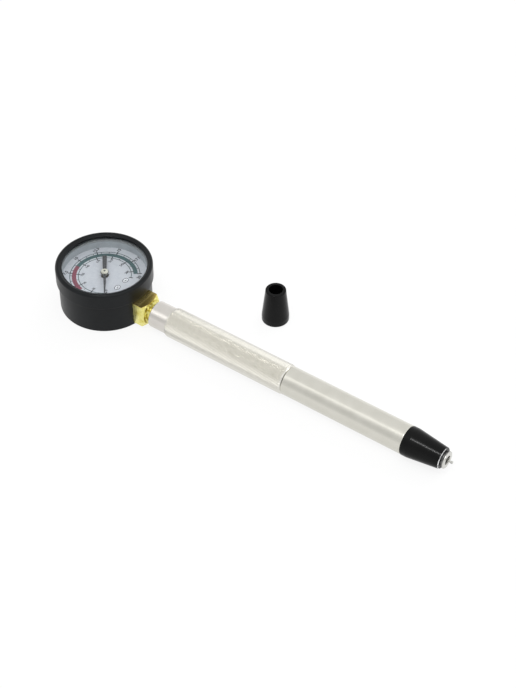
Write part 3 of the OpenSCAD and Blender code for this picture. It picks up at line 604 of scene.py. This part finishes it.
def knurled_handle():
    """Neck and bores are a turned profile. Over the grip the grid has two steps to a diamond.

    The radius is GRIP_R where row + column is odd and GROOVE_R where it is even, and each square is
    split along its two low corners, so every diamond is a four-sided pyramid between helical grooves.
    """
    rows = np.linspace(GRIP_START, GRIP_END, 2 * KNURLS_ALONG + 1)
    outside = with_arcs(
        [(HANDLE_START, SOCKET_SEAT_R, 0), (HANDLE_START, NECK_R, 0.4), (NECK_END, NECK_R, 0)]
        + [(SHOULDER_X, SHOULDER_R, 0.03), (SHOULDER_X + SHOULDER_BEVEL, SHOULDER_R + SHOULDER_BEVEL, 0)]
    )
    inside = with_arcs(
        [(HANDLE_END - END_BEVEL, BEVEL_R, 0), (HANDLE_END, END_R, 0.05), (HANDLE_END, BARREL_SEAT_R, 0)]
        + [(BARREL_SEAT_START, BARREL_SEAT_R, 0), (BARREL_SEAT_START, AIR_BORE_R, 0)]
        + [(SOCKET_SEAT_END, AIR_BORE_R, 0), (SOCKET_SEAT_END, SOCKET_SEAT_R, 0)]
    )
    grip = np.stack([rows, np.full(len(rows), GROOVE_R)], 1)
    profile = np.concatenate([outside, grip, inside])
    columns = 2 * KNURLS_AROUND
    row = np.arange(len(profile))[:, None]
    column = np.arange(columns)[None, :]
    even = (row - len(outside) + column) % 2 == 0
    on_grip = (row > len(outside)) & (row < len(outside) + len(grip) - 1)
    radius = np.where(on_grip & ~even, GRIP_R, profile[:, 1:])
    angle = column / columns * TAU
    along = np.repeat(profile[:, :1], columns, 1)
    points = np.stack([along, radius * np.cos(angle), radius * np.sin(angle) + STEM_Z], -1)
    quads = grid_faces(len(profile), columns, True, True)
    split_down = even.reshape(-1, 1)
    first = np.where(split_down, quads[:, [0, 1, 2]], quads[:, [0, 1, 3]])
    second = np.where(split_down, quads[:, [0, 2, 3]], quads[:, [1, 2, 3]])
    return points.reshape(-1, 3), np.concatenate([first, second])


def plate_neck(mesh):
    """Gives the faces whose first corner lies before the grip's shoulder the neck's plating."""
    corners = np.zeros(len(mesh.vertices) * 3)
    mesh.vertices.foreach_get("co", corners)
    first_loop = np.zeros(len(mesh.polygons), int)
    mesh.polygons.foreach_get("loop_start", first_loop)
    vertex_of = np.zeros(len(mesh.loops), int)
    mesh.loops.foreach_get("vertex_index", vertex_of)
    on_neck = corners[0::3][vertex_of[first_loop]] < SHOULDER_X * MM
    mesh.materials.append(NECK_METAL)
    mesh.polygons.foreach_set("material_index", on_neck.astype(int))


handle = piece(
    "knurled_handle", knurled_handle(), KNURL_METAL, nodes=["handle"], sharp=20
)
plate_neck(handle.data)


# Barrel and nozzle

BARREL_R, BARREL_SPIGOT_R = 7.8, 5.9
JOINT_GROOVE = 0.45
NOZZLE_SEAT_R, NOZZLE_SPIGOT_R = 4.95, 4.9
NOZZLE_R = 4.1
BEAD_START, BEAD_R = 213.15, 4.65
CORE_SEAT_START, CORE_SEAT_R = 196.0, 2.45
ON_STEM = (0, STEM_Z)

barrel_line = with_arcs(
    [(BARREL_START, AIR_BORE_R, 0), (BARREL_START, BARREL_SPIGOT_R, 0.2)]
    + [(HANDLE_END, BARREL_SPIGOT_R, 0), (HANDLE_END, BARREL_R - JOINT_GROOVE, 0.05)]
    + [(HANDLE_END + JOINT_GROOVE, BARREL_R, 0.12), (BARREL_END, BARREL_R, 0.35)]
    + [(BARREL_END, NOZZLE_SEAT_R, 0), (NOZZLE_START, NOZZLE_SEAT_R, 0), (NOZZLE_START, AIR_BORE_R, 0)]
)
smooth_barrel = revolved(barrel_line, "x", ON_STEM)
piece("smooth_barrel", smooth_barrel, TUBE_METAL, nodes=["barrel"])

nozzle_line = with_arcs(
    [(NOZZLE_START, AIR_BORE_R, 0), (NOZZLE_START, NOZZLE_SPIGOT_R, 0.2)]
    + [(BARREL_END, NOZZLE_SPIGOT_R, 0), (BARREL_END, NOZZLE_R, 0)]
    + [(BEAD_START, NOZZLE_R, 0.1), (BEAD_START, BEAD_R, 0.15), (NOZZLE_END, BEAD_R, 0.3)]
    + [(NOZZLE_END, CORE_SEAT_R, 0.1), (CORE_SEAT_START, CORE_SEAT_R, 0), (CORE_SEAT_START, AIR_BORE_R, 0)]
)
turned_nozzle = revolved(nozzle_line, "x", ON_STEM, around=96)
piece("nozzle_turned", turned_nozzle, NOZZLE_NICKEL, nodes=["nozzle"])


# Rubber cones

CONE_LAND = 3.5


def rubber_cone(start, end, axis, centre, base_r, end_r, bore_r):
    """A straight band, then a taper, with rounded outer edges and softened bore mouths."""
    line = with_arcs(
        [(start, bore_r, 0.25), (start, base_r, 0.6), (start + CONE_LAND, base_r, 1.2)]
        + [(end, end_r, 0.6), (end, bore_r, 0.25)],
        steps=7,
    )
    return revolved(line, axis, centre)


fitted_cone = rubber_cone(BARREL_END, CONE_END, "x", ON_STEM, base_r=7.9, end_r=5.75, bore_r=4.15)
piece("cone_on_nozzle", fitted_cone, FITTED_RUBBER, nodes=["fitted_cone"])
spare_cone = rubber_cone(SPARE_FOOT, SPARE_TOP, "z", SPARE_PLACE, base_r=7.39, end_r=5.5, bore_r=3.75)
piece("cone_beside", spare_cone, CONE_RUBBER, "spare_cone", ["spare_cone"])


# Valve spring

SPRING_TURNS, STEPS_A_TURN = 5, 24
SPRING_MEAN_R, SPRING_WIRE, WIRE_SIDES = 1.0, 0.3, 8
spring_low, spring_high = (corner[0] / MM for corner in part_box("valve_spring"))


def valve_spring_coil():
    """A round wire carried along a helix about the tube's centre line.

    Ring k lies square to the helix at its point k: the centre plus the wire's radius times
    (cos u along the outward direction, sin u along the helix's sideways direction).
    """
    turn = np.linspace(0, SPRING_TURNS * TAU, SPRING_TURNS * STEPS_A_TURN + 1)[:, None]
    run = spring_high - spring_low - SPRING_WIRE
    outward = np.hstack([np.zeros_like(turn), np.cos(turn), np.sin(turn)])
    centre = SPRING_MEAN_R * outward + [spring_low + SPRING_WIRE / 2, 0, STEM_Z]
    centre[:, :1] += run * turn / turn[-1]
    across = [-SPRING_MEAN_R * np.sin(turn), SPRING_MEAN_R * np.cos(turn)]
    along = np.hstack([np.full_like(turn, run / turn[-1]), *across])
    sideways = np.cross(along / np.linalg.norm(along, axis=1)[:, None], outward)
    u = (np.arange(WIRE_SIDES) / WIRE_SIDES * TAU)[None, :, None]
    rings = np.cos(u) * outward[:, None] + np.sin(u) * sideways[:, None]
    points = (centre[:, None] + SPRING_WIRE / 2 * rings).reshape(-1, 3)
    return points, capped_tube(len(turn), WIRE_SIDES)


coil = piece(
    "valve_spring_coil", valve_spring_coil(), SPRING_STEEL, nodes=["valve_spring"]
)
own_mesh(coil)


# Dial

DIAL_R, DIAL_HOLE_R = 23.9, 2.2
PRINT_FOOT = DIAL_Z - 0.02
SCALE_ZERO = 227.0
OUTER_UNIT, OUTER_FULL = 13.68, 20
INNER_STEP, INNER_FULL, STEP_VALUE = 33.3, 300, 35
OUTER_END = SCALE_ZERO + OUTER_FULL * OUTER_UNIT
INNER_END = SCALE_ZERO + INNER_FULL / STEP_VALUE * INNER_STEP
BAND_START, BAND_SPLIT = SCALE_ZERO + 4 * OUTER_UNIT, 350.0
BAND_IN, BAND_OUT = 15.35, 17.65
OUTER_ARC, INNER_ARC, ARC_WIDTH = 18.6, 14.0, 0.38
OVAL_POINTS, OVAL_ACROSS, OVAL_TALL = 48, 1.75, 1.3
OVAL_ANGLE = np.linspace(0, TAU, OVAL_POINTS + 1)[:-1]


def around_dial(radius, clock):
    """A place on the dial, radius times (cos a, sin a), where a is half a turn less clock.

    clock is in degrees clockwise from twelve, which points along -X.
    """
    angle = np.radians(180 - np.asarray(clock, float))
    return np.stack([radius * np.cos(angle), radius * np.sin(angle)], -1)


def arc_print(inner, outer, clock_from, clock_to, low=PRINT_FOOT, high=DIAL_Z + 0.03):
    """A four-cornered section carried round an arc, with both ends closed.

    Point (i, j) has the radius and height of the section's corner j, at the arc's clock angle i.
    """
    steps = int(abs(clock_to - clock_from) / 1.5) + 2
    clock = np.linspace(clock_from, clock_to, steps)[:, None]
    section = np.array([[inner, low], [outer, low], [outer, high], [inner, high]])
    flat = around_dial(section[None, :, 0], clock)
    height = np.broadcast_to(section[None, :, 1:], flat.shape[:2] + (1,))
    return np.concatenate([flat, height], -1).reshape(-1, 3), capped_tube(steps, 4)


def tick_marks(clocks, inner, outer, width, low=PRINT_FOOT, high=DIAL_Z + 0.035):
    """One thin box for each clock angle.

    Its corners are the angle's direction times each radius, plus or minus half the width across.
    """
    out = around_dial(1.0, clocks)
    side = np.stack([-out[:, 1], out[:, 0]], -1) * width / 2
    corners = [out * inner - side, out * outer - side, out * outer + side, out * inner + side]
    return together([plate(ground, low, high) for ground in np.stack(corners, 1)])


def lettering(words, height, place, base=DIAL_Z - 0.01):
    """A word as a thin closed mesh, upright for the dial: its right is +Y and its top is -X."""
    capital_share, boldness, thick = 0.7, 0.035, 0.03
    curve = bpy.data.curves.new("number_line", "FONT")
    curve.body = words
    curve.align_x, curve.align_y = "CENTER", "CENTER"
    curve.size = height / capital_share
    curve.offset = boldness * curve.size
    curve.extrude = thick / 2
    curve.resolution_u = 3
    holder = bpy.data.objects.new("number_line", curve)
    bpy.context.scene.collection.objects.link(holder)
    bpy.context.view_layer.update()
    mesh = bpy.data.meshes.new_from_object(holder.evaluated_get(bpy.context.evaluated_depsgraph_get()))
    local = np.zeros(len(mesh.vertices) * 3, np.float32)
    mesh.vertices.foreach_get("co", local)
    local = local.reshape(-1, 3)
    faces = [tuple(p.vertices) for p in mesh.polygons]
    bpy.data.objects.remove(holder)
    bpy.data.curves.remove(curve)
    bpy.data.meshes.remove(mesh)
    lift = np.full(len(local), base + thick / 2)
    points = np.stack([place[0] - local[:, 1], place[1] + local[:, 0], lift + local[:, 2]], 1)
    return points, faces


def oval_rim(middle, width, low=PRINT_FOOT, high=DIAL_Z + 0.04):
    """A four-cornered section carried round an ellipse, closed on itself.

    Point (i, j) is cos a_i and sin a_i times the half axes, each plus the offset of corner j.
    """
    angle = OVAL_ANGLE[:, None]
    section = np.array([[-width / 2, low], [width / 2, low], [width / 2, high], [-width / 2, high]])
    side = middle[1] + (OVAL_ACROSS + section[None, :, 0]) * np.cos(angle)
    top = middle[0] - (OVAL_TALL + section[None, :, 0]) * np.sin(angle)
    height = np.broadcast_to(section[None, :, 1], side.shape)
    return np.stack([top, side, height], -1).reshape(-1, 3), grid_faces(OVAL_POINTS, 4, True, True)


def oval_plate(middle, low=PRINT_FOOT, high=DIAL_Z + 0.02):
    """A plate whose outline is the cosine and sine of one turn, times the ellipse's half axes."""
    across, tall = OVAL_ACROSS * np.cos(OVAL_ANGLE), OVAL_TALL * np.sin(OVAL_ANGLE)
    return plate(np.stack([middle[0] - tall, middle[1] + across], -1), low, high)


dial_line = with_arcs(
    [(DIAL_BACK, DIAL_HOLE_R, 0), (DIAL_BACK, DIAL_R, 0), (DIAL_Z, DIAL_R, 0.1), (DIAL_Z, DIAL_HOLE_R, 0.1)]
)
piece("dial_plate_printed", revolved(dial_line, "z"), DIAL_WHITE, nodes=["dial_plate"])
piece("dial_band_red", arc_print(BAND_IN, BAND_OUT, BAND_START, BAND_SPLIT), INK_RED)
piece("dial_band_green", arc_print(BAND_IN, BAND_OUT, BAND_SPLIT, OUTER_END), INK_GREEN)
outer_arc = arc_print(OUTER_ARC, OUTER_ARC + ARC_WIDTH, SCALE_ZERO, OUTER_END)
inner_arc = arc_print(INNER_ARC, INNER_ARC + ARC_WIDTH, SCALE_ZERO, INNER_END)
piece("dial_arcs", together([outer_arc, inner_arc]), INK_TEAL)

outer_long = [SCALE_ZERO + OUTER_UNIT * k for k in np.arange(0, OUTER_FULL + 0.1, 2.5)]
outer_short = [SCALE_ZERO + OUTER_UNIT * k for k in range(OUTER_FULL + 1) if k % 5]
inner_long = [SCALE_ZERO + INNER_STEP * k for k in range(9)] + [INNER_END]
inner_short = [SCALE_ZERO + INNER_STEP * (k + 0.5) for k in range(8)]
ticks = [
    tick_marks(outer_long, inner=17.4, outer=19.9, width=0.58),
    tick_marks(outer_short, inner=17.6, outer=18.9, width=0.3),
    tick_marks(inner_long, inner=13.1, outer=15.4, width=0.55),
    tick_marks(inner_short, inner=14.1, outer=15.2, width=0.3),
]
piece("dial_ticks", together(ticks), INK_DARK)

OUTER_TEXT, OUTER_TEXT_R = 1.8, 21.3
INNER_TEXT, INNER_TEXT_R = 1.3, 12.0
LAST_TEXT_R, LAST_TEXT_CLOCK = 18.6, 149.6
UNIT_TEXT = 1.0
numbers = [
    lettering(f"{value:g}", OUTER_TEXT, around_dial(OUTER_TEXT_R, SCALE_ZERO + OUTER_UNIT * value))
    for value in np.arange(0, 17.6, 2.5)
]
numbers.append(lettering(f"{OUTER_FULL}", OUTER_TEXT, around_dial(LAST_TEXT_R, LAST_TEXT_CLOCK)))
for k in range(9):
    place = around_dial(INNER_TEXT_R, SCALE_ZERO + INNER_STEP * k)
    numbers.append(lettering(f"{STEP_VALUE * k}", INNER_TEXT, place))
piece("dial_numbers", together(numbers), INK_DARK)

unit_places = {"bar": around_dial(12.0, 164.4), "psi": around_dial(12.1, 197.5)}
ovals = [oval_plate(place) for place in unit_places.values()]
piece("dial_unit_plates", together(ovals), PLATE_WHITE)
rims = [oval_rim(place, 0.36) for place in unit_places.values()]
words = [lettering(word, UNIT_TEXT, place, DIAL_Z + 0.005) for word, place in unit_places.items()]
piece("dial_unit_marks", together(rims + words), INK_DARK)


# Pointer

REST_ANGLE = -51


def pointer_outline():
    """Needle, round disc and flared tail as one outline: straight sides that meet the disc's arc."""
    needle_reach, needle_half, point_half, point_l = 17.5, 0.8, 0.3, 0.9
    tail_reach, tail_near, tail_far, tail_corner = 13.5, 0.98, 1.25, 0.15
    disc_r = 2.2
    on_needle = math.asin(needle_half / disc_r)
    on_tail = math.pi - math.asin(tail_near / disc_r)
    sweep = np.linspace(on_needle, on_tail, 18)
    upper = [(needle_reach, 0.0), (needle_reach - point_l, point_half)]
    upper += [(disc_r * math.cos(a), disc_r * math.sin(a)) for a in sweep]
    upper += [(-tail_reach + tail_corner, tail_far), (-tail_reach, tail_far - tail_corner)]
    half = np.array(upper)
    lower = half[::-1][:-1] * [1, -1]
    return np.concatenate([half, lower])


def pointer_plate():
    """The outline turned to its rest angle and given the plate's thickness."""
    x, y = pointer_outline().T
    turn = math.radians(REST_ANGLE)
    turned = [x * math.cos(turn) - y * math.sin(turn), x * math.sin(turn) + y * math.cos(turn)]
    return plate(np.stack(turned, 1), POINTER_BACK, POINTER_FACE)


needle = piece(
    "pointer_needle", pointer_plate(), POINTER_PAINT, "pointer", ["pointer"]
)
edge = needle.modifiers.new("edge", "BEVEL")
edge.width, edge.segments, edge.limit_method = 0.06 * MM, 2, "ANGLE"

HUB_BORE_R, HUB_BOSS_R, CAP_R, CAP_TOP_R = 0.5, 1.5, 2.0, 1.82
CAP_FOOT = POINTER_FACE + 0.01
hub_line = with_arcs(
    [(HUB_FOOT, HUB_BORE_R, 0), (HUB_FOOT, HUB_BOSS_R, 0.1), (CAP_FOOT, HUB_BOSS_R, 0)]
    + [(CAP_FOOT, CAP_R, 0.05), (HUB_TOP, CAP_TOP_R, 0.3), (HUB_TOP, HUB_BORE_R, 0.1)]
)
hub_cap = revolved(hub_line, "z", around=72)
piece("pointer_hub_cap", hub_cap, HUB_CREAM, "pointer", ["pointer_hub"])


# Studio

CAMERA_PLACE = (448.39091556, -493.859192, 614.31672855)
CAMERA_LOOK = (-0.41152913, 0.5845071, -0.69928194)
FOCAL_PIXELS, PHOTO_HEIGHT = 1658.953, 688
ROLL, FILM = 0.23526, 36.0
WHITE = (1, 1, 1, 1)


def placed(holder, right, up, back, place):
    """Turns and moves an object: its X, Y and Z axes become right, up and back."""
    rows = [[right[k], up[k], back[k], place[k]] for k in range(3)]
    holder.matrix_world = Matrix(rows + [[0, 0, 0, 1]])
    bpy.context.scene.collection.objects.link(holder)


def fitted_camera():
    """The camera that the photograph's outline was fitted to. ROLL turns it about its own view."""
    look = Vector(CAMERA_LOOK).normalized()
    level = look.cross(Vector((0, 0, 1))).normalized()
    upward = level.cross(look)
    cosine, sine = math.cos(math.radians(ROLL)), math.sin(math.radians(ROLL))
    data = bpy.data.cameras.new("camera")
    data.sensor_width = FILM
    data.lens = FOCAL_PIXELS / PHOTO_HEIGHT * FILM
    data.clip_start, data.clip_end = 0.01, 20
    camera = bpy.data.objects.new("camera", data)
    right, up = cosine * level + sine * upward, cosine * upward - sine * level
    placed(camera, right, up, -look, [c * MM for c in CAMERA_PLACE])
    bpy.context.scene.camera = camera


# Every lamp faces this place
LAMP_TARGET = (0.10, 0.0, 0.01)
# Each lamp's name, place, direction of its length, length, width, radiance, and whether it shows
# in polished surfaces
LAMPS = (
    ("softbox_over", (-0.15, -0.35, 1.15), (1, 0, 0), 1.4, 1.2, 0.64, False),
    ("strip_beside", (-0.43, -0.58, 0.95), (0.68, 0.73, 0), 0.62, 0.14, 0.36, True),
    ("strip_barrel", (-0.14, -0.345, 0.95), (1, 0, 0), 0.30, 0.14, 0.13, True),
    ("strip_cone", (0.155, -0.345, 0.95), (1, 0, 0), 0.13, 0.055, 66.0, True),
    ("panel_knurl", (0.86, -0.25, 0.95), (1, 0, 0), 0.8, 1.0, 0.75, True),
    ("panel_end", (0.99, 0.65, 0.50), (0, 1, 0), 0.45, 0.3, 2.2, True),
    ("strip_neck", (-0.585, -0.72, 0.95), (0.46, 0.89, 0), 0.86, 0.20, 0.42, True),
    ("softbox_back", (0.10, 1.05, 0.80), (1, 0, 0), 1.2, 0.5, 3.0, False),
)


def lamp(name, place, along, length, width, radiance, mirrored):
    """A rectangle that faces LAMP_TARGET with its length turned towards along."""
    data = bpy.data.lights.new(name, "AREA")
    data.shape, data.size, data.size_y = "RECTANGLE", length, width
    data.energy = radiance * math.pi * length * width
    made = bpy.data.objects.new(name, data)
    back = (Vector(place) - Vector(LAMP_TARGET)).normalized()
    side = (Vector(along) - back * back.dot(Vector(along))).normalized()
    placed(made, side, back.cross(side), back, place)
    made.visible_glossy = mirrored


def studio_world():
    """White for the camera and behind clear pieces, and even light for matt surfaces.

    Mirrors see a tent that is brightest low on its walls, and darkest in an opening on its near left
    side. The opening's edge and middle are given as cosines of the angle from its centre line.
    """
    matt_light, wall_foot, wall_top, in_opening = 0.66, 0.95, 0.87, 0.80
    wall_height, opening_edge, opening_middle = 0.42, 0.86, 0.97
    opening_side = Vector((-0.35, -0.86, 0.37)).normalized()
    world = bpy.data.worlds.new("light_tent")
    world.use_nodes = True
    nodes = Nodes(world.node_tree)

    def spread(value, low, high, out_low, out_high):
        """A mapped value that eases in and out."""
        return nodes.between(value, low, high, out_low, out_high, interpolation_type="SMOOTHSTEP")

    def chosen(switch, off, on):
        """One of two numbers. Sockets 0, 2 and 3 are the Mix node's switch and numbers."""
        node = nodes.add("ShaderNodeMix")
        for socket, value in zip((node.inputs[0], node.inputs[2], node.inputs[3]), (switch, off, on)):
            nodes.feed(socket, value)
        return node.outputs[0]

    ray = nodes.add("ShaderNodeLightPath").outputs
    direction = nodes.add("ShaderNodeTexCoord").outputs["Generated"]
    towards = nodes.add("ShaderNodeVectorMath", operation="DOT_PRODUCT")
    nodes.feed(towards.inputs[0], direction)
    nodes.feed(towards.inputs[1], opening_side)
    walls = spread(nodes.parts_of(direction)["Z"], 0.0, wall_height, wall_foot, wall_top)
    opening = spread(towards.outputs["Value"], opening_edge, opening_middle, 1.0, in_opening)
    lit = chosen(ray["Is Glossy Ray"], matt_light, nodes.product(walls, opening))
    seen = nodes.larger(ray["Is Camera Ray"], ray["Is Transmission Ray"])
    background = world.node_tree.nodes["Background"]
    nodes.feed(background.inputs["Strength"], chosen(seen, lit, 1.0))
    nodes.feed(background.inputs["Color"], WHITE)
    bpy.context.scene.world = world


def pale_floor():
    """A flat sheet under the tester: white to the camera and to mirrors, and it keeps soft shadows.

    Mirrors see it a little darker on the near side of the tester, where Y is below zero.
    """
    half, drop, own_light, near_light, blend_half = 3.0, 0.05 * MM, 0.85, 0.85, 0.01
    corners = [(-half, -half, 0), (half, -half, 0), (half, half, 0), (-half, half, 0)]
    mesh = bpy.data.meshes.new("floor")
    mesh.from_pydata(corners, [], [(0, 1, 2, 3)])
    floor = bpy.data.objects.new("floor", mesh)
    floor.location.z = -drop
    bpy.context.scene.collection.objects.link(floor)
    paper = Finish("floor_paper", roughness=0.9)
    paper.colour((0.97, 0.97, 0.97, 1))
    paper.specular(0.1)
    ray = paper.add("ShaderNodeLightPath").outputs
    across = paper.parts_of(paper.place)["Y"]
    beyond = paper.between(across, -blend_half, blend_half, near_light, 1.0)
    glow = paper.add("ShaderNodeEmission")
    paper.feed(glow.inputs["Color"], WHITE)
    paper.feed(glow.inputs["Strength"], paper.larger(beyond, ray["Is Camera Ray"]))
    seen = paper.larger(ray["Is Camera Ray"], ray["Is Glossy Ray"])
    share = paper.product(seen, own_light)
    paper.surface(paper.mixed_shader(share, paper.shader.outputs["BSDF"], glow.outputs["Emission"]))
    mesh.materials.append(paper.material)


fitted_camera()
for settings in LAMPS:
    lamp(*settings)
studio_world()
pale_floor()
bpy.context.scene.view_settings.view_transform = "Standard"
